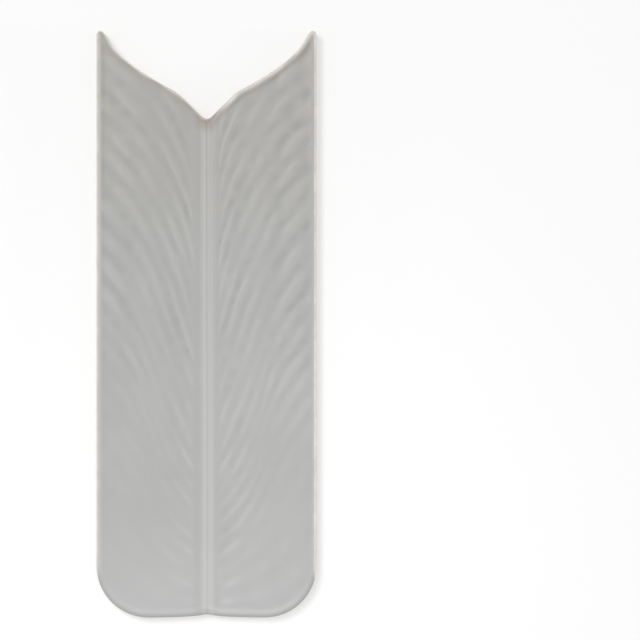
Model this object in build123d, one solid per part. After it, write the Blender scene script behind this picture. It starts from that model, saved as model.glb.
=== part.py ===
from build123d import *

import os
from math import cos, exp, radians, sin, tan

# Wall tile in the shape of a feather, pressed and fired in one piece, in millimetres.
# It lies on its back: Z = 0 is the back, +Y points from the rounded foot to the forked end,
# and the origin is under the middle of the length and the width.

# Overall size
WIDTH = 76.2
LENGTH = 203.2
THICKNESS = 9.0  # at the long sides

# Forked end, from the bottom of the notch outwards to a horn
NOTCH_DEPTH = 30.3  # horn tips to the bottom of the notch
NOTCH_RADIUS = 2.5
FLANK_LENGTH = 10.4
FLANK_ANGLE = 44.5  # above the X axis, as are the two below
SHOULDER_RADIUS = 10.0
SWEEP_START_ANGLE = 28.0
SWEEP_END_ANGLE = 55.0
SWEEP_START_PULL = 24.0  # how far the sweep keeps to each of its end angles
SWEEP_END_PULL = 4.5
TIP_RADIUS = 1.35

# Foot
CORNER_RADIUS = 18.0
DIP_DEPTH = 1.0  # shallow dip under the shaft
DIP_WIDTH = 6.0

# Front: two flat vanes that fall from the long sides to a trough, with the shaft in the trough
RIM_RADIUS = 1.0
VANE_SLOPE = 1.8  # degrees
BEND_WIDTH = 6.0  # soft bend where the vanes meet
TROUGH_WIDTH = 10.0
TROUGH_DEPTH = 0.25
SHAFT_WIDTH_FOOT = 5.0
SHAFT_WIDTH_FORK = 4.2
SHAFT_HEIGHT_FOOT = 0.4
SHAFT_HEIGHT_FORK = 0.3
SHAFT_NOSE_RADIUS = 0.3
SHAFT_ROOT = 2.0  # depth to which the shaft is one with the body
LINE_WIDTH = 0.6  # fine line along the crest of the shaft
LINE_DEPTH = 0.1

# Barbs: grooves in the vanes, each of two arcs that meet in the middle of the vane.
# Those near the foot leave the trough flat and bend upwards; the others leave it steep and bend outwards.
BARB_FIRST = 2.9  # from the foot, along the shaft
BARB_PITCH_FOOT = 5.25  # along the shaft
BARB_PITCH_FORK = 11.0
BARB_PITCH_PLACE = 51.0  # where the pitch is half-way between the two
BARB_PITCH_SPREAD = 12.8  # how far the change of pitch spreads to each side of that place
BARB_INSET = 4.0  # from the middle of the shaft
BARB_MIDDLE = 19.3  # where the two arcs meet, from the middle of the shaft
BARB_WIDTH = 1.8
BARB_DEPTH = 0.2
BARB_START_ANGLE = 83.5  # beside the shaft, above the X axis
BARB_START_DROP = 90.0  # how much flatter it is at the foot
BARB_START_REACH = 41.0  # the length along the shaft in which most of the drop dies away
BARB_MIDDLE_ANGLE = 89.0  # where the arcs meet, above the X axis
BARB_MIDDLE_FALL = 45.0  # how much flatter it is at the fork
BARB_MIDDLE_DROP = 93.0  # how much flatter it is at the foot
BARB_END_ANGLE = 46.0  # at the long side, above the X axis
BARB_END_FALL = 20.0  # how much flatter it is at the fork
BARB_END_RISE = 38.0  # how much steeper it is at the foot
BARB_BEND_REACH = 13.4  # the length along the shaft in which most of that drop and rise dies away

# Keying on the back
KEY_WIDTH = 6.0
KEY_GAP = 6.0
KEY_DEPTH = 1.0
KEY_MARGIN = 9.0

HALF_WIDTH = WIDTH / 2
FORK = LENGTH / 2
FOOT = -LENGTH / 2
NOTCH = FORK - NOTCH_DEPTH
BEND_EDGE = BEND_WIDTH / 2
BEND_TOP = THICKNESS - (HALF_WIDTH - BEND_EDGE) * tan(radians(VANE_SLOPE))
BEND_LOW = BEND_TOP - BEND_EDGE * tan(radians(VANE_SLOPE / 2))
FLOOR = BEND_LOW - TROUGH_DEPTH


def heading(angle):
    return Vector(cos(radians(angle)), sin(radians(angle)))


def outline():
    with BuildSketch() as sketch:
        with BuildLine():
            valley = JernArc((0, NOTCH), (1, 0), NOTCH_RADIUS, FLANK_ANGLE)
            flank = PolarLine(valley @ 1, FLANK_LENGTH, FLANK_ANGLE)
            turn = SWEEP_START_ANGLE - FLANK_ANGLE
            shoulder = JernArc(flank @ 1, heading(FLANK_ANGLE), SHOULDER_RADIUS, turn)
            tip_centre = (HALF_WIDTH - TIP_RADIUS, FORK - TIP_RADIUS)
            tip = CenterArc(tip_centre, TIP_RADIUS, 0, 90 + SWEEP_END_ANGLE)
            leave = shoulder @ 1 + heading(SWEEP_START_ANGLE) * SWEEP_START_PULL
            arrive = tip @ 1 - heading(SWEEP_END_ANGLE) * SWEEP_END_PULL
            Bezier(shoulder @ 1, leave, arrive, tip @ 1)
            side = Line(tip @ 0, (HALF_WIDTH, FOOT + CORNER_RADIUS))
            corner = JernArc(side @ 1, (0, -1), CORNER_RADIUS, -90)
            dip = (0, FOOT + DIP_DEPTH)
            Bezier(corner @ 1, (DIP_WIDTH / 2, FOOT), (DIP_WIDTH / 4, FOOT + DIP_DEPTH), dip)
            mirror(about=Plane.YZ)
        make_face()
    return sketch.sketch


def body():
    """The tile with plain vanes, which meet in a soft bend, and with its rim rounded."""
    with BuildSketch(Plane.XZ) as section:
        with BuildLine():
            Polyline(
                (-BEND_EDGE, BEND_TOP),
                (-HALF_WIDTH, THICKNESS),
                (-HALF_WIDTH, 0),
                (HALF_WIDTH, 0),
                (HALF_WIDTH, THICKNESS),
                (BEND_EDGE, BEND_TOP),
            )
            ThreePointArc((BEND_EDGE, BEND_TOP), (0, BEND_LOW), (-BEND_EDGE, BEND_TOP))
        make_face()
    block = extrude(section.sketch, LENGTH, both=True)
    solid = block & extrude(outline(), 2 * THICKNESS)
    front = solid.faces().filter_by(lambda face: face.normal_at().Z > 0.5)
    uprights = solid.faces().filter_by(lambda face: abs(face.normal_at().Z) < 0.1)
    rim = ShapeList(edge for edge in front.edges() if edge in uprights.edges())
    return fillet(rim, RIM_RADIUS)


def trough():
    """Cutter for the shallow channel beside the shaft."""
    edge = TROUGH_WIDTH / 2
    brim = THICKNESS - (HALF_WIDTH - edge) * tan(radians(VANE_SLOPE))
    with BuildSketch(Plane.XZ) as section:
        with BuildLine():
            ThreePointArc((-edge, brim), (0, FLOOR), (edge, brim))
            Polyline((edge, brim), (edge, THICKNESS), (-edge, THICKNESS), (-edge, brim))
        make_face()
    return extrude(section.sketch, LENGTH, both=True)


def shaft_section(y, width, height):
    with BuildSketch(Plane.XZ.offset(-y)) as section:
        with BuildLine():
            ThreePointArc((width / 2, FLOOR), (0, FLOOR + height), (-width / 2, FLOOR))
            Polyline(
                (-width / 2, FLOOR),
                (-width / 2, FLOOR - SHAFT_ROOT),
                (width / 2, FLOOR - SHAFT_ROOT),
                (width / 2, FLOOR),
            )
        make_face()
    return section.sketch


def line_section(y, height):
    crest = FLOOR + height
    with BuildSketch(Plane.XZ.offset(-y)) as section:
        with BuildLine():
            Polyline(
                (0, crest - LINE_DEPTH),
                (LINE_WIDTH / 2, crest),
                (LINE_WIDTH / 2, crest + LINE_DEPTH),
                (-LINE_WIDTH / 2, crest + LINE_DEPTH),
                (-LINE_WIDTH / 2, crest),
                close=True,
            )
        make_face()
    return section.sketch


def shaft():
    start = FOOT + DIP_DEPTH + RIM_RADIUS / 2
    end = NOTCH - RIM_RADIUS
    low = shaft_section(start, SHAFT_WIDTH_FOOT, SHAFT_HEIGHT_FOOT)
    high = shaft_section(end, SHAFT_WIDTH_FORK, SHAFT_HEIGHT_FORK)
    bead = loft([low, high])
    arches = bead.edges().filter_by(GeomType.CIRCLE)
    bead = fillet(arches, SHAFT_NOSE_RADIUS)
    line = loft([line_section(start, SHAFT_HEIGHT_FOOT), line_section(end, SHAFT_HEIGHT_FORK)])
    return bead - line


def groove(start, first, last, reach):
    """Cutter for one arc of a groove, from a point of the vane's plane, and the point at its end."""
    across = Plane(start, x_dir=heading(first - 90), z_dir=heading(first))
    with BuildSketch(across) as section:
        with BuildLine():
            ThreePointArc((-BARB_WIDTH / 2, 0), (0, -BARB_DEPTH), (BARB_WIDTH / 2, 0))
            Polyline(
                (BARB_WIDTH / 2, 0),
                (BARB_WIDTH / 2, BARB_DEPTH),
                (-BARB_WIDTH / 2, BARB_DEPTH),
                (-BARB_WIDTH / 2, 0),
            )
        make_face()
    if abs(last - first) < 1:
        length = reach / cos(radians(first))
        return extrude(section.sketch, length), start + heading(first) * length
    radius = reach / (sin(radians(last)) - sin(radians(first)))
    centre = start + heading(first + 90) * radius
    pivot = Axis(centre, (0, 0, 1 if radius > 0 else -1))
    cutter = revolve(section.sketch, pivot, revolution_arc=abs(last - first))
    return cutter, centre + heading(last - 90) * radius


def barb(place):
    """Cutter for one barb of the right vane, drawn on the vane's own plane."""
    along = place / (NOTCH - FOOT)
    near_foot = exp(-place / BARB_BEND_REACH)
    first = BARB_START_ANGLE - BARB_START_DROP * exp(-place / BARB_START_REACH)
    middle = BARB_MIDDLE_ANGLE - BARB_MIDDLE_FALL * along - BARB_MIDDLE_DROP * near_foot
    last = BARB_END_ANGLE - BARB_END_FALL * along + BARB_END_RISE * near_foot
    start = Vector(BARB_INSET, FOOT + place, 0)
    inner, meeting = groove(start, first, middle, BARB_MIDDLE - BARB_INSET)
    outer, _ = groove(meeting, middle, last, HALF_WIDTH + BARB_WIDTH - BARB_MIDDLE)
    return inner + outer


def barbs():
    slope = radians(VANE_SLOPE)
    level = THICKNESS - HALF_WIDTH * tan(slope)
    vane = Plane((0, 0, level), x_dir=(cos(slope), 0, sin(slope)), z_dir=(-sin(slope), 0, cos(slope)))
    place = BARB_FIRST
    right = []
    while place < NOTCH - FOOT:
        right.append(vane * barb(place))
        growth = 1 / (1 + exp(2 * (BARB_PITCH_PLACE - place) / BARB_PITCH_SPREAD))
        place += BARB_PITCH_FOOT + (BARB_PITCH_FORK - BARB_PITCH_FOOT) * growth
    return right + [mirror(cutter, about=Plane.YZ) for cutter in right]


def keys():
    """Cutter for the straight grooves in which the adhesive grips."""
    low = FOOT + KEY_MARGIN
    high = NOTCH - KEY_MARGIN
    pitch = KEY_WIDTH + KEY_GAP
    count = int((WIDTH - 2 * KEY_MARGIN + KEY_GAP) // pitch)
    with BuildSketch() as field:
        with Locations((0, (low + high) / 2)):
            with GridLocations(pitch, 1, count, 1):
                SlotOverall(high - low, KEY_WIDTH, rotation=90)
    return extrude(field.sketch, KEY_DEPTH)


tile = body() - trough() - keys() - barbs() + shaft()

os.makedirs("parts", exist_ok=True)
export_step(tile, "parts/feather_tile.step")
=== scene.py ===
from math import cos, exp, pi, radians, sin, tan

import bpy
import numpy as np
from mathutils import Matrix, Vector


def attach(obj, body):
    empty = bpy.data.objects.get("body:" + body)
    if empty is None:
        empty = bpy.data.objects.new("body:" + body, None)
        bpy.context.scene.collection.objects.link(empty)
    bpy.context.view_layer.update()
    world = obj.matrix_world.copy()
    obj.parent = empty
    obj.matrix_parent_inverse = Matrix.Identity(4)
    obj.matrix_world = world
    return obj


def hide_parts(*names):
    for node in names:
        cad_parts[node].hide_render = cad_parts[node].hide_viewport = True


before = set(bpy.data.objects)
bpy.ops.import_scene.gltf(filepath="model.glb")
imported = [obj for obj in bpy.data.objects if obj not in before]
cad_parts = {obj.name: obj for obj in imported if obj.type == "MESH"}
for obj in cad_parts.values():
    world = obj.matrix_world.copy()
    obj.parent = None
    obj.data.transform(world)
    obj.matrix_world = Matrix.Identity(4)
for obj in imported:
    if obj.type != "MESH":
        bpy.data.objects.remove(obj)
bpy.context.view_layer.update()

# The tile lies on its back, with +Y from the rounded foot to the forked end.
# Sizes are in millimetres, and angles in degrees, until they reach the mesh.
MM = 0.001

# Outline, rim and keys, as in the part
WIDTH, LENGTH, THICKNESS = 76.2, 203.2, 9.0
NOTCH_DEPTH, NOTCH_RADIUS = 30.3, 2.5
FLANK_LENGTH, FLANK_ANGLE, SHOULDER_RADIUS = 10.4, 44.5, 10.0
SWEEP_START_ANGLE, SWEEP_END_ANGLE = 28.0, 55.0
SWEEP_START_PULL, SWEEP_END_PULL, TIP_RADIUS = 24.0, 4.5, 1.35
CORNER_RADIUS, DIP_DEPTH, DIP_WIDTH = 18.0, 1.0, 6.0
RIM_RADIUS, VANE_SLOPE = 1.0, 1.8
KEY_WIDTH, KEY_GAP, KEY_DEPTH, KEY_MARGIN = 6.0, 6.0, 1.0, 9.0

# Course of the barbs, as in the part
BARB_FIRST, BARB_PITCH_FOOT, BARB_PITCH_FORK = 2.9, 5.25, 11.0
BARB_PITCH_PLACE, BARB_PITCH_SPREAD = 51.0, 12.8
BARB_INSET, BARB_MIDDLE, BARB_WIDTH = 4.0, 19.3, 1.8
BARB_START_ANGLE, BARB_START_DROP, BARB_START_REACH = 83.5, 90.0, 41.0
BARB_MIDDLE_ANGLE, BARB_MIDDLE_FALL, BARB_MIDDLE_DROP = 89.0, 45.0, 93.0
BARB_END_ANGLE, BARB_END_FALL, BARB_END_RISE, BARB_BEND_REACH = 46.0, 20.0, 38.0, 13.4

# Relief under its coat of glaze, a little shallower than in the part
GLAZE_SINK = 0.17  # how far the vanes lie below the part's, so that no unevenness stands proud
BEND_SOFTNESS = 6.0  # of the bend where the vanes meet, in square millimetres
TROUGH_WIDTH, TROUGH_DEPTH = 10.0, 0.22
TROUGH_FLOOR, TROUGH_SOFTNESS, TROUGH_FADE = 1.5, 0.6, 0.55
SHAFT_WIDTH_FOOT, SHAFT_WIDTH_FORK = 5.0, 4.2
SHAFT_HEIGHT_FOOT, SHAFT_HEIGHT_FORK = 0.38, 0.2
SHAFT_SPREAD, SHAFT_CROWN = 1.12, 1.35  # the glaze widens the bead and rounds its feet
SHAFT_OFFSET = 0.25  # to the right of the middle
LINE_DEPTH, LINE_WIDTH = 0.07, 0.42
LIP_HEIGHT, LIP_PLACE, LIP_WIDTH = 0.07, 1.5, 0.9  # of the glaze behind the rim
BARBS_BELOW = 9  # counted on below the foot
BARBS_COUNTED = 60  # on each vane
BARB_RELIEF = 0.014  # depth of a groove for each millimetre of pitch
BARB_PITCH_LEAST, BARB_PITCH_MOST = 1.5, 7.0  # of the pitches that count for the depth
# The glaze's dark tone is set off a groove's middle, the other way on each vane, as painted shade against
# the lamps' shading of the groove slopes.
POOL_OFFSET_AGAINST_SHADE = 0.09  # how far the glaze lies from a groove's middle, as a share of the pitch

# Grid of the front
RIM_ROWS, INNER_ROWS, RIM_BAND = 12, 325, 2.2
CORNER_COLUMNS, CORNER_STEP = 11, 3.0
VANE_COLUMNS, SHAFT_COLUMNS, SHAFT_BAND = 60, 21, 6.0
WALL_LEVELS = (6.0, 4.0, 2.0, 0.5, 0.0)
SMOOTH_ANGLE = 40.0
RIM_NEAR, RIM_FAR = 6.0, 9.0  # distances from the rim are worked out within the first, and end at the second

HALF = WIDTH / 2
FORK, FOOT = LENGTH / 2, -LENGTH / 2
NOTCH = FORK - NOTCH_DEPTH
SHAFT_LENGTH = NOTCH - FOOT


# Outline

def turn(centre, radius, start, end, steps):
    """Points on an arc."""
    return [ahead(centre, angle, radius) for angle in np.linspace(start, end, steps)]


def pull(a, b, c, d, steps):
    """Points on a cubic curve with the handles b and c."""
    t = np.linspace(0, 1, steps)[:, None]
    a, b, c, d = (np.array(p) for p in (a, b, c, d))
    curve = (1 - t) ** 3 * a + 3 * t * (1 - t) ** 2 * b + 3 * t * t * (1 - t) * c + t ** 3 * d
    return [tuple(p) for p in curve]


def ahead(point, angle, distance):
    return point[0] + distance * cos(radians(angle)), point[1] + distance * sin(radians(angle))


def fork_edge():
    """Right half of the forked end, from the bottom of the notch to the side."""
    points = turn((0, NOTCH + NOTCH_RADIUS), NOTCH_RADIUS, -90, FLANK_ANGLE - 90, steps=12)
    top = ahead(points[-1], FLANK_ANGLE, FLANK_LENGTH)
    centre = ahead(top, FLANK_ANGLE - 90, SHOULDER_RADIUS)
    points += turn(centre, SHOULDER_RADIUS, FLANK_ANGLE + 90, SWEEP_START_ANGLE + 90, steps=10)
    tip_centre = (HALF - TIP_RADIUS, FORK - TIP_RADIUS)
    tip = turn(tip_centre, TIP_RADIUS, SWEEP_END_ANGLE + 90, 0, steps=40)
    leave = ahead(points[-1], SWEEP_START_ANGLE, SWEEP_START_PULL)
    arrive = ahead(tip[0], SWEEP_END_ANGLE, -SWEEP_END_PULL)
    points += pull(points[-1], leave, arrive, tip[0], steps=60)[1:-1] + tip
    return np.array(points)


def foot_edge():
    """Right half of the foot, from the dip under the shaft to the side."""
    corner_centre = (HALF - CORNER_RADIUS, FOOT + CORNER_RADIUS)
    corner = turn(corner_centre, CORNER_RADIUS, -90, 0, steps=90)
    dip = (0, FOOT + DIP_DEPTH)
    leave, arrive = (DIP_WIDTH / 4, FOOT + DIP_DEPTH), (DIP_WIDTH / 2, FOOT)
    points = pull(dip, leave, arrive, corner[0], steps=60)
    return np.array(points[:-1] + corner)


FORK_EDGE, FOOT_EDGE = fork_edge(), foot_edge()


def fork_at(x):
    return np.interp(np.abs(x), FORK_EDGE[:, 0], FORK_EDGE[:, 1])


def foot_at(x):
    return np.interp(np.abs(x), FOOT_EDGE[:, 0], FOOT_EDGE[:, 1])


def edge_distance(edge, x, y):
    """Distance of points of the front from an edge of the right half or its mirror image."""
    start = edge[:-1]
    along = edge[1:] - start
    length = np.maximum((along ** 2).sum(1), 1e-12)
    inside = np.minimum(np.minimum(HALF - np.abs(x), fork_at(x) - y), y - foot_at(x))
    near = inside < RIM_NEAR
    points = np.stack([np.abs(x[near]), y[near]], 1)
    found, batch_size = [], 2000
    for batch in np.array_split(points, max(1, len(points) // batch_size)):
        t = np.clip(((batch[:, None] - start) * along).sum(2) / length, 0, 1)
        gap = batch[:, None] - (start + t[..., None] * along)
        found.append(np.sqrt((gap ** 2).sum(2)).min(1))
    distance = np.full(x.shape, RIM_FAR)
    distance[near] = np.minimum(np.concatenate(found), RIM_FAR)
    return distance


# Relief of the front: d is the distance from the middle, s that from the foot,
# up runs from 0 at the foot to 1 at the notch, and off is the place across the shaft

def smooth(low, high, value):
    """Runs softly from 0 at low to 1 at high."""
    t = np.clip((value - low) / (high - low), 0, 1)
    return t * t * (3 - 2 * t)


def bell(value, middle, width, power=2):
    """A hump of height 1; a higher power makes it flatter on top."""
    return np.exp(-((value - middle) / width) ** power)


def blend(a, b, share):
    return a + (b - a) * share


def drift(x, y, seed, scale):
    """Soft unevenness between about -1 and 1, the same on every run."""
    waves, largest = 7, 3.2
    rng = np.random.default_rng(seed)
    total = 0
    for _ in range(waves):
        angle, phase, stretch = rng.uniform(0, pi), rng.uniform(0, 2 * pi), rng.uniform(0.6, 1.7)
        total = total + np.sin((x * cos(angle) + y * sin(angle)) * 2 * pi * stretch / scale + phase)
    return total / largest


def barb_places():
    """Where the grooves leave the trough, with some below the foot and past the notch."""
    past_notch = 40
    places = [BARB_FIRST]
    while places[-1] < SHAFT_LENGTH + past_notch:
        growth = 1 / (1 + exp(2 * (BARB_PITCH_PLACE - places[-1]) / BARB_PITCH_SPREAD))
        places.append(places[-1] + blend(BARB_PITCH_FOOT, BARB_PITCH_FORK, growth))
    below = [BARB_FIRST - BARB_PITCH_FOOT * n for n in range(BARBS_BELOW, 0, -1)]
    return np.array(below + places)


BARB_PLACES = barb_places()


def barb_count(d, s):
    """For points of one column: the groove's number, with fractions, and the distance of two grooves."""
    below_foot, past_notch, step = 60.0, 36, 0.25
    place = np.arange(-below_foot, SHAFT_LENGTH + past_notch, step)
    age = np.maximum(place, 0)
    along, near_foot = age / SHAFT_LENGTH, np.exp(-age / BARB_BEND_REACH)
    start_drop = BARB_START_DROP * np.exp(-age / BARB_START_REACH)
    first = np.radians(BARB_START_ANGLE - start_drop)
    middle = np.radians(BARB_MIDDLE_ANGLE - BARB_MIDDLE_FALL * along - BARB_MIDDLE_DROP * near_foot)
    last = np.radians(BARB_END_ANGLE - BARB_END_FALL * along + BARB_END_RISE * near_foot)

    def bend(out, reach, start, end):
        """Rise and angle of an arc at a distance from its start."""
        sine = blend(np.sin(start), np.sin(end), out / reach)
        angle = np.arcsin(np.clip(sine, -1, 1))
        return out * np.tan((start + angle) / 2), angle

    inner_reach = BARB_MIDDLE - BARB_INSET
    rise, angle = bend(min(d, BARB_MIDDLE) - BARB_INSET, inner_reach, first, middle)
    if d > BARB_MIDDLE:
        more, angle = bend(d - BARB_MIDDLE, HALF + BARB_WIDTH - BARB_MIDDLE, middle, last)
        rise = rise + more
    number = np.interp(place, BARB_PLACES, np.arange(len(BARB_PLACES)) - BARBS_BELOW)
    pitch = np.gradient(place + rise) / np.maximum(np.gradient(number), 1e-6) * np.cos(angle)
    return np.interp(s, place + rise, number), np.interp(s, place + rise, pitch)


def per_barb(seed, low, high):
    """One value for each barb, of the right vane and of the left."""
    return np.random.default_rng(seed).uniform(low, high, (2, BARBS_COUNTED))


def beside_shaft(d):
    return 1 - smooth(10, 18, d)


def barb_clearness(x, y, number, rim):
    """How clear the barbs are: most beside the shaft, along the upper sides and on the right vane."""
    d, s = np.abs(x), y - FOOT
    right, inner = x > 0, beside_shaft(d)
    upper = smooth(60, 110, s)
    outer = smooth(19, 27, d) * smooth(50, 110, s) * np.where(right, 1.0, 0.72)
    corner = smooth(9, 14, d) * (1 - smooth(20, 42, s))
    clear = 0.26 + 0.6 * inner * (0.65 + 0.35 * smooth(8, 26, s))
    clear = clear + 0.3 * upper + 0.6 * outer + 0.22 * corner

    right_vane = 0.84 + 0.16 * smooth(90, 130, s)
    left_vane = 0.38 + 0.42 * smooth(70, 140, s + 25 * inner)
    faint_foot = (0.3 + 0.35 * smooth(6, 10, d)) * (1 - smooth(24, 60, s))
    clear = clear * np.where(right, right_vane, left_vane) * (1 - faint_foot)

    strength, side = per_barb(5, 0.6, 1.25), np.where(right, 0, 1)
    place = np.clip(number + BARBS_BELOW, 0, BARBS_COUNTED - 1.01)
    low = place.astype(int)
    mixed = blend(strength[side, low], strength[side, low + 1], smooth(0, 1, place - low))
    patchy = 0.85 + 0.3 * drift(x, y, 11, 24) + 0.42 * drift(x, y, 12, 8)
    return clear * mixed * smooth(3.4, 6.0, d) * smooth(1.0, 3.0, rim) * patchy


def barb_grooves(x, y, number):
    """The grooves, and the glaze in them, each broken into strokes; the glaze's dark tone is set off to one
    side as painted shade against the lamps' shading.
    """
    d, right = np.abs(x), x > 0
    side, inner = np.where(right, 0, 1), beside_shaft(d)
    wander = number + 0.06 * drift(x, y, 3, 46) + 0.04 * drift(x, y, 4, 17)
    reach, begin = per_barb(6, 9, 19), per_barb(7, 0, 1)
    on = np.clip(np.floor(wander) + BARBS_BELOW, 0, BARBS_COUNTED - 1).astype(int)
    stroke = np.sin(2 * pi * (d / reach[side, on] + begin[side, on]))
    broken = 1 + stroke * (0.45 + 0.25 * inner)

    def groove(count):
        ridge = (0.5 - 0.5 * np.cos(2 * pi * count)) ** (1.0 + 1.2 * inner)
        return 1 - ridge * broken

    # The second groove carries the glaze's tone, set off as painted shade against the lamps' shading.
    return groove(wander), groove(wander + np.where(right, POOL_OFFSET_AGAINST_SHADE, -POOL_OFFSET_AGAINST_SHADE))


def shaft_bead(off, up):
    """Height of the shaft's bead, and of its top."""
    half = blend(SHAFT_WIDTH_FOOT, SHAFT_WIDTH_FORK, up) / 2 * SHAFT_SPREAD
    tall = blend(SHAFT_HEIGHT_FOOT, SHAFT_HEIGHT_FORK, up)
    return tall * np.maximum(1 - (off / half) ** 2, 0) ** SHAFT_CROWN, tall


def pale_glaze_and_painted_light(x, s, up, off, rise, rim):
    """Where the shaft is pale: thin glaze on it and beside it, painted highlights on its threads and along
    the foot, painted light on its right flank and in the trough left of it, and painted shade on its left
    flank.
    """
    # Painted highlights: two pale threads beside the shaft's middle, which is darker.
    thread_highlight = np.where(off > 0, 0.35, 0.75) * bell(np.abs(off), 0.95, 0.3)
    thread_highlights = (thread_highlight - 0.6 * bell(off, 0, 0.3)) * (1 - 0.4 * up)
    # Pale thin glaze on the shaft, partly a painted highlight.
    crest_and_highlight = smooth(0.0, 0.45, rise) * (0.72 + thread_highlights) * (1 - 0.35 * up)
    # Painted light on the bead's right flank, which the lamps leave in shade.
    right_flank_light = (0.5 + 0.3 * up) * bell(off, 1.75, 0.7)
    # Painted shade on the bead's left flank towards the notch.
    left_flank_shade = 0.3 * up * bell(off, -1.75, 0.6)
    # Painted highlight: a pale band just inside the foot's edge, mostly on the right.
    foot_highlight = np.where(x > 0, 0.45, 0.05) * bell(rim, 2.1, 1.1) * (1 - smooth(4, 9, s))
    # Painted light in the trough left of the shaft, which the lamps leave darker.
    left_trough_light = 0.28 * up * bell(x, -4.0, 2.0)
    return crest_and_highlight + right_flank_light - left_flank_shade + foot_highlight + left_trough_light


def front_relief(x, y, number, pitch, rim):
    """Height of the glazed front, how deep the glaze lies with some painted shade, and where the shaft is
    pale with painted highlights, light and shade.
    """
    d, s, off = np.abs(x), y - FOOT, x - SHAFT_OFFSET
    up = np.clip(s / SHAFT_LENGTH, 0, 1)
    slope = tan(radians(VANE_SLOPE))
    vane = THICKNESS - (HALF - np.sqrt(d ** 2 + BEND_SOFTNESS)) * slope - GLAZE_SINK
    trough_wall = smooth(TROUGH_FLOOR, TROUGH_WIDTH / 2 + TROUGH_SOFTNESS, d)
    trough = TROUGH_DEPTH * (1 - TROUGH_FADE * up) * (1 - trough_wall)
    bead, tall = shaft_bead(off, up)
    line = LINE_DEPTH * bell(off, 0, LINE_WIDTH) * smooth(0.03, 0.2, bead)
    shaft = (bead - line) * smooth(0.6, 2.4, rim)

    clear = barb_clearness(x, y, number, rim)
    groove, pool_set_against_shade = barb_grooves(x, y, number)
    depth = BARB_RELIEF * np.clip(pitch, BARB_PITCH_LEAST, BARB_PITCH_MOST)
    barbs = depth * clear * groove

    lip = LIP_HEIGHT * bell(rim, LIP_PLACE, LIP_WIDTH)
    uneven = 0.035 * drift(x, y, 21, 60) + 0.008 * drift(x, y, 22, 14)
    arris = np.clip(RIM_RADIUS - rim, 0, RIM_RADIUS)
    drop = RIM_RADIUS - np.sqrt(np.maximum(RIM_RADIUS ** 2 - arris ** 2, 0))
    height = vane - trough + shaft - barbs + lip + uneven - drop

    # Deep glaze in the grooves, set off as painted shade against the lamps' shading.
    in_barbs = clear * (pool_set_against_shade - 0.45 - 0.15 * beside_shaft(d))
    in_trough = np.clip(trough / TROUGH_DEPTH, 0, 1) * (1 - smooth(0.01, 0.2, bead))
    # Painted shade in the trough right of the shaft, growing towards the notch.
    right_trough_shade = np.where(x > 0, 0.45 * up ** 1.5, 0.0) * bell(d, 3.8, 0.9)
    # Darker glaze behind the rim, partly painted shade, stronger on the right side.
    behind_rim_pool_and_shade = np.where(x > 0, 0.1, 0.035) * bell(rim, 2.9, 0.9) * smooth(8, 20, s)
    pool_and_shade = in_barbs + 0.17 * in_trough * (1 - 0.8 * up) + right_trough_shade + behind_rim_pool_and_shade
    return height, pool_and_shade, pale_glaze_and_painted_light(x, s, up, off, bead / tall, rim)


def pale_arris_and_highlight(x, y, fork):
    """Where the clay shows pale through the glaze on the arris of the long sides and of the fork, together
    with a painted highlight that is far stronger on the right side and on the fork's right flank.
    """
    up = smooth(FOOT, FORK, y)
    # Far more on the right arris: a painted highlight where the lamps leave it dark.
    right = 1.7 * np.exp(-(HALF - x) / 0.62)
    left = (0.66 + 0.1 * up) * np.exp(-(HALF + x) / 1.25)
    sides = np.where(x > 0, right, left) * smooth(FOOT + 5, FOOT + 20, y)
    # Paler and wider on the fork's right flank: a painted highlight.
    lip = np.where(x > 3, 1.1 * np.exp(-fork / 1.0), 0.9 * np.exp(-fork / 0.7))
    return np.maximum(sides, lip * (0.9 + 0.3 * drift(x, y, 31, 15)))


def brown_glaze_and_edge_shade(x, y, fork, rim):
    """Where the glaze has fired brown: behind the fork's arris, in the notch and under the foot, where the
    darker edge is partly painted shade.
    """
    behind_arris = np.where(x > 0, 0.55, 0.48) * bell(fork, 1.5, 1.15)
    behind_arris = behind_arris * (0.85 + 0.3 * drift(x, y, 32, 11))
    notch = 0.75 * bell(fork, 0, 5.0, 4) * bell(x, 0, 3.6)
    notch = notch + 0.4 * bell(fork, 0, 1.8, 4) * bell(x, 0, 4.2, 4)
    # Darker along the very edge of the foot: brown glaze and painted shade of the arris.
    foot = 0.25 * np.exp(-rim / 0.2) * (1 - smooth(FOOT + 8, FOOT + 22, y))
    return np.maximum(behind_arris, notch) + foot


# Modelling

def deselect():
    if bpy.context.object and bpy.context.object.mode != "OBJECT":
        bpy.ops.object.mode_set(mode="OBJECT")
    bpy.ops.object.select_all(action="DESELECT")


def pick(piece):
    deselect()
    piece.select_set(True)
    bpy.context.view_layer.objects.active = piece


def columns():
    """Column places across the tile: close at the sides, for the round corners, and at the shaft."""
    angles = radians(CORNER_STEP) * np.arange(CORNER_COLUMNS)
    outer = HALF - CORNER_RADIUS * (1 - np.cos(angles))
    middle = np.linspace(outer[-1], SHAFT_BAND, VANE_COLUMNS)[1:]
    inner = np.linspace(SHAFT_BAND, 0, SHAFT_COLUMNS)[1:]
    right = np.concatenate([outer, middle, inner])
    return np.concatenate([-right, right[-2::-1]])


def rows():
    """Row places: share of the length inside the rim, and distances from the foot's and the fork's edge."""
    edge = RIM_BAND * (np.arange(RIM_ROWS) / RIM_ROWS) ** 2
    rest = np.full(INNER_ROWS + RIM_ROWS, RIM_BAND)
    share = np.concatenate([np.zeros(RIM_ROWS), np.linspace(0, 1, INNER_ROWS), np.ones(RIM_ROWS)])
    return share, np.concatenate([edge, rest]), np.concatenate([rest, edge[::-1]])


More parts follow.
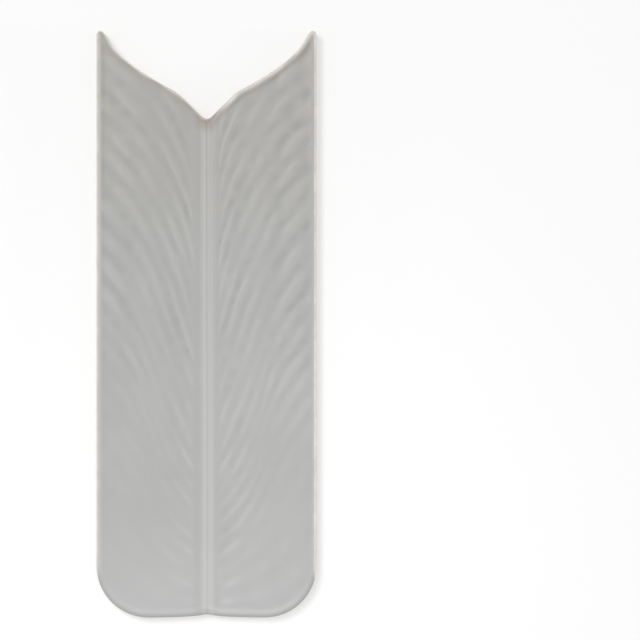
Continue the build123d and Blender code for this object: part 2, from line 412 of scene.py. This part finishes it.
def front_sheet():
    """A grid laid into the outline and raised to the relief, with the glaze's thickness, painted light and
    painted shade as attributes.
    """
    across = columns()
    share, low, high = rows()
    wide, tall = len(across), len(share)
    deselect()
    bpy.ops.mesh.primitive_grid_add(x_subdivisions=wide - 1, y_subdivisions=tall - 1,
                                    size=1.0, location=(0, 0, 0))
    piece = bpy.context.object

    x = np.tile(across, tall)
    start = foot_at(across) + low[:, None]
    end = fork_at(across) - high[:, None]
    y = blend(start, end, share[:, None]).ravel()
    rim = edge_distance(np.vstack([FOOT_EDGE, FORK_EDGE[::-1]]), x, y)
    fork = edge_distance(FORK_EDGE, x, y)
    number, pitch = np.zeros(len(x)), np.zeros(len(x))
    for n in range(wide):
        column = np.arange(tall) * wide + n
        number[column], pitch[column] = barb_count(abs(across[n]), y[column] - FOOT)
    # The second of these is deep glaze in the hollows, with painted shade.
    z, pool_and_shade, crest_and_highlight = front_relief(x, y, number, pitch, rim)

    mesh = piece.data
    mesh.vertices.foreach_set("co", (np.stack([x, y, z], 1) * MM).ravel())
    # The rim values: thin pale glaze on the arris, with painted highlight.
    glaze = {"rim": pale_arris_and_highlight(x, y, fork), "notch": brown_glaze_and_edge_shade(x, y, fork, rim),
             # On the shaft: pale glaze with painted highlights, painted light and painted shade.
             "pool_and_shade": pool_and_shade, "crest_and_highlight": crest_and_highlight}
    for name, values in glaze.items():
        mesh.attributes.new(name, "FLOAT", "POINT").data.foreach_set("value", values)
    mesh.update()
    return piece


def add_walls(piece):
    """Carries the sheet's border down to the back and closes it."""
    pick(piece)
    bpy.ops.object.mode_set(mode="EDIT")
    bpy.ops.mesh.select_mode(type="EDGE")
    bpy.ops.mesh.select_all(action="DESELECT")
    bpy.ops.mesh.select_non_manifold(extend=False)
    for level in WALL_LEVELS:
        bpy.ops.mesh.extrude_region_move(TRANSFORM_OT_translate={"value": (0, 0, -0.1 * MM)})
        bpy.ops.transform.resize(value=(1, 1, 0), center_override=(0, 0, level * MM))
    bpy.ops.mesh.edge_face_add()
    bpy.ops.mesh.select_all(action="SELECT")
    bpy.ops.mesh.normals_make_consistent(inside=False)
    bpy.ops.object.mode_set(mode="OBJECT")


def key_cutter(x):
    """A cylinder drawn out to a long slot, half of it below the back."""
    low, high = FOOT + KEY_MARGIN, NOTCH - KEY_MARGIN
    middle, reach = (low + high) / 2 * MM, (high - low - KEY_WIDTH) / 2 * MM
    deselect()
    bpy.ops.mesh.primitive_cylinder_add(vertices=32, radius=KEY_WIDTH / 2 * MM,
                                        depth=2 * KEY_DEPTH * MM, location=(x * MM, middle, 0))
    bpy.ops.object.transform_apply(location=True)
    cutter = bpy.context.object
    for way in (1, -1):
        bpy.ops.object.mode_set(mode="EDIT")
        bpy.ops.mesh.select_all(action="DESELECT")
        bpy.ops.object.mode_set(mode="OBJECT")
        for corner in cutter.data.vertices:
            corner.select = way * (corner.co.y - middle) > 1e-6
        bpy.ops.object.mode_set(mode="EDIT")
        bpy.ops.mesh.select_mode(type="VERT")
        bpy.ops.transform.translate(value=(0, way * reach, 0))
        bpy.ops.object.mode_set(mode="OBJECT")
    return cutter


def cut_keys(piece):
    """The straight grooves of the back, in which the adhesive grips."""
    pitch = KEY_WIDTH + KEY_GAP
    count = int((WIDTH - 2 * KEY_MARGIN + KEY_GAP) // pitch)
    for n in range(count):
        cutter = key_cutter((n - (count - 1) / 2) * pitch)
        pick(piece)
        cut = piece.modifiers.new("key", "BOOLEAN")
        cut.operation, cut.solver, cut.object = "DIFFERENCE", "EXACT", cutter
        bpy.ops.object.modifier_apply(modifier=cut.name)
        bpy.data.objects.remove(cutter)


def make_tile():
    piece = front_sheet()
    piece.name = piece.data.name = "feather_tile_glazed"
    add_walls(piece)
    cut_keys(piece)
    pick(piece)
    bpy.ops.object.shade_smooth_by_angle(angle=radians(SMOOTH_ANGLE))
    return piece


# Materials

class Value:
    """A shader socket that takes part in Python sums."""

    def __init__(self, finish, socket):
        self.finish, self.socket = finish, socket

    def sum(self, operation, a, b):
        return self.finish.add("ShaderNodeMath", {"operation": operation}, a, b)

    def __add__(self, other): return self.sum("ADD", self, other)
    def __radd__(self, other): return self.sum("ADD", other, self)
    def __sub__(self, other): return self.sum("SUBTRACT", self, other)
    def __rsub__(self, other): return self.sum("SUBTRACT", other, self)
    def __mul__(self, other): return self.sum("MULTIPLY", self, other)
    def __rmul__(self, other): return self.sum("MULTIPLY", other, self)

    def between(self, low, high):
        """Runs softly from 0 at low to 1 at high."""
        settings = {"interpolation_type": "SMOOTHSTEP", "clamp": True}
        return self.finish.add("ShaderNodeMapRange", settings, self, From_Min=low, From_Max=high)


class Finish:
    """A material and the one way in which its nodes are made."""

    def __init__(self, name):
        self.material = bpy.data.materials.new(name)
        self.material.use_nodes = True
        self.tree = self.material.node_tree
        self.tree.nodes.clear()

    def add(self, kind, settings=None, *values, output=0, **named):
        """A node with its settings, then its sockets in order or by name; gives one of its outputs."""
        node = self.tree.nodes.new(kind)
        for key, setting in (settings or {}).items():
            setattr(node, key, setting)
        sockets = list(zip(node.inputs, values))
        for key, value in named.items():
            name = key.replace("_", " ")
            sockets.append((next(i for i in node.inputs if i.name == name and i.enabled), value))
        for socket, value in sockets:
            if isinstance(value, Value):
                self.tree.links.new(value.socket, socket)
            else:
                socket.default_value = value
        return Value(self, node.outputs[output]) if node.outputs else None

    def mix(self, share, a, b):
        """From colour a to colour b."""
        return self.add("ShaderNodeMix", {"data_type": "RGBA"}, output=2, Factor=share, A=a, B=b)

    def noise(self, place, scale, detail):
        return self.add("ShaderNodeTexNoise", None, place, Scale=scale, Detail=detail)

    def attribute(self, name):
        return self.add("ShaderNodeAttribute", {"attribute_name": name}, output="Fac")


def srgb(*levels):
    """A colour given in picture levels, as linear light."""
    light = [v / 255 / 12.92 if v <= 10 else ((v / 255 + 0.055) / 1.055) ** 2.4 for v in levels]
    return (*light, 1)


GREY_DEEP, GREY_PALE = srgb(168, 168, 166), srgb(173, 173, 171)
# The pale foot tone is painted light, for the brighter end of the tile at the foot.
WARM_FORK, FOOT_PAINTED_LIGHT = srgb(170, 166, 159), srgb(194, 194, 196)
# The pale shaft tone is thin glaze and painted highlight; the dark tone in the hollows is deep glaze and
# painted shade.
POOL_AND_SHADE_TONE, CREST_AND_HIGHLIGHT = srgb(150, 150, 148), srgb(190, 189, 187)
# The cream is thin glaze and painted highlight; the brown is fired glaze, with painted shade at the foot's
# edge.
BROWN_AND_EDGE_SHADE, CREAM_AND_HIGHLIGHT = srgb(152, 141, 131), srgb(231, 225, 216)
CLAY_DARK, CLAY_LIGHT = srgb(199, 182, 160), srgb(214, 199, 178)
WHITE, SWEEP_WHITE = (1, 1, 1, 1), (0.99, 0.99, 0.99, 1)
SWEEP_GLOW = 0.56  # share of plain white that the eye sees on the floor


def glazed_clay():
    """Pale grey glaze over buff clay: thin and warm on the rim with painted highlights, deeper in the
    grooves with painted shade, paler towards the foot as painted light, with painted highlights, light and
    shade on the shaft, bare on the back.
    """
    f = Finish("pale_grey_glaze")
    place = f.add("ShaderNodeTexCoord", output="Object")
    along = f.add("ShaderNodeSeparateXYZ", None, place, output="Y")
    height = f.add("ShaderNodeSeparateXYZ", None, place, output="Z")
    rim, notch, pool_and_shade, crest_and_highlight = (f.attribute(name) for name in ("rim", "notch", "pool_and_shade", "crest_and_highlight"))
    cloud = f.noise(place, 38.0, 3.0)
    patch = f.noise(place, 160.0, 4.0)
    skin = f.noise(place, 420.0, 2.0)
    grain = f.noise(place, 900.0, 6.0)

    glaze = f.mix(cloud.between(0.3, 0.7), GREY_DEEP, GREY_PALE)
    glaze = f.mix(along.between(0.01, 0.08) * 0.6, glaze, WARM_FORK)
    # Painted light: paler over the last 50 mm towards the foot, standing in for the brighter light there.
    glaze = f.mix((1 - along.between(-0.102, -0.052)) * 0.55, glaze, FOOT_PAINTED_LIGHT)
    # Deep glaze in the grooves and trough, with painted shade beside the trough and behind the rim.
    glaze = f.mix(0.3 + 0.75 * pool_and_shade, glaze, POOL_AND_SHADE_TONE)
    # Pale thin glaze on the shaft, with painted highlights, painted light and painted shade.
    glaze = f.mix(crest_and_highlight * 0.55, glaze, CREST_AND_HIGHLIGHT)
    brown = notch * (0.75 + 0.5 * patch.between(0.3, 0.65))
    # Brown glaze, and at the foot's edge painted shade.
    glaze = f.mix(brown * 0.9, glaze, BROWN_AND_EDGE_SHADE)
    # Pale arris: thin glaze and painted highlight, patchy along its length.
    rim_patches = 0.8 + 0.3 * patch.between(0.35, 0.7)
    edge = rim.between(0.08, 0.75) * rim_patches * height.between(0.0064, 0.0080)
    glaze = f.mix(edge * 0.97, glaze, CREAM_AND_HIGHLIGHT)

    # The glaze ends in an uneven line above the back, with bare clay below it
    clay = f.mix(grain.between(0.35, 0.65), CLAY_DARK, CLAY_LIGHT)
    ragged = 0.0012 * (patch - 0.5) + 0.0016 * (cloud - 0.5)
    glazed = (height + ragged).between(0.0022, 0.0027)
    colour = f.mix(glazed, clay, glaze)
    roughness = 0.9 - glazed * (0.50 - 0.08 * patch - 0.10 * edge)
    relief = skin * glazed * 0.6 + grain * (1 - glazed)
    bump = f.add("ShaderNodeBump", None, Strength=0.12, Distance=0.00012, Height=relief)
    shader = f.add("ShaderNodeBsdfPrincipled", None,
                   Base_Color=colour, Roughness=roughness, Normal=bump, IOR=1.5)
    f.add("ShaderNodeOutputMaterial", None, shader)
    return f.material


def white_sweep():
    """White for the eye and for reflections, with part of the real shade kept."""
    f = Finish("white_sweep")
    rays = ("Is Camera Ray", "Is Glossy Ray", "Is Transmission Ray")
    camera, glossy, through = (f.add("ShaderNodeLightPath", output=ray) for ray in rays)
    seen = (camera + glossy + through).between(0, 1)
    plain = f.add("ShaderNodeBsdfDiffuse", None, SWEEP_WHITE)
    bright = f.add("ShaderNodeEmission", None, WHITE, 1.0)
    mixed = f.add("ShaderNodeMixShader", None, seen * SWEEP_GLOW, plain, bright)
    f.add("ShaderNodeOutputMaterial", None, mixed)
    return f.material


# Stage, in metres

FLOOR_SIZE, FLOOR_LEVEL = 4.0, -0.0001
WORLD_LIGHT = 0.46


def lay_floor():
    deselect()
    bpy.ops.mesh.primitive_plane_add(size=FLOOR_SIZE, location=(0, 0, FLOOR_LEVEL))
    floor = bpy.context.object
    floor.name = "floor"
    bpy.ops.object.transform_apply(location=True)
    floor.data.materials.append(white_sweep())


def lamp(name, place, size, power, aim=(0, 0, 0), spread=180):
    light = bpy.data.lights.new(name, "AREA")
    light.shape, light.size, light.energy = "DISK", size, power
    light.spread = radians(spread)
    stand = bpy.data.objects.new(name, light)
    stand.location = place
    stand.rotation_euler = (Vector(aim) - Vector(place)).to_track_quat("-Z", "Y").to_euler()
    bpy.context.scene.collection.objects.link(stand)


def light_stage():
    world = bpy.data.worlds.new("studio")
    world.use_nodes = True
    sky = world.node_tree.nodes["Background"].inputs
    sky["Color"].default_value, sky["Strength"].default_value = WHITE, WORLD_LIGHT
    bpy.context.scene.world = world
    lamp("window", (-0.25, 0.25, 1.10), size=0.3, power=5.8)
    lamp("left_strip", (-0.95, 0.05, 0.26), size=0.16, power=0.5)
    lamp("right_strip", (0.95, 0.05, 0.26), size=0.16, power=1.2)
    lamp("foot_lamp", (0.0, -0.045, 0.30), size=0.06, power=0.065, aim=(0.008, -0.165, 0), spread=100)


def set_camera():
    """Straight down, with the tile left of the middle as it is in the picture."""
    picture, pixel = 640, 0.3463 * MM
    shaft_column, foot_row = 206.5, 617.7
    front_level = 8 * MM
    lens, sensor = 150.0, 36.0
    eye = bpy.data.cameras.new("camera")
    eye.lens, eye.sensor_width, eye.clip_start = lens, sensor, 0.01
    stand = bpy.data.objects.new("camera", eye)
    across = (picture / 2 - shaft_column) * pixel
    along = FOOT * MM + (foot_row - picture / 2) * pixel
    distance = picture * pixel * lens / sensor
    stand.location = (across, along, front_level + distance)
    bpy.context.scene.collection.objects.link(stand)
    bpy.context.scene.camera = stand


tile = make_tile()
tile.data.materials.clear()
tile.data.materials.append(glazed_clay())
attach(tile, "root")
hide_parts("feather_tile")
lay_floor()
light_stage()
set_camera()
bpy.context.scene.view_settings.view_transform = "Standard"
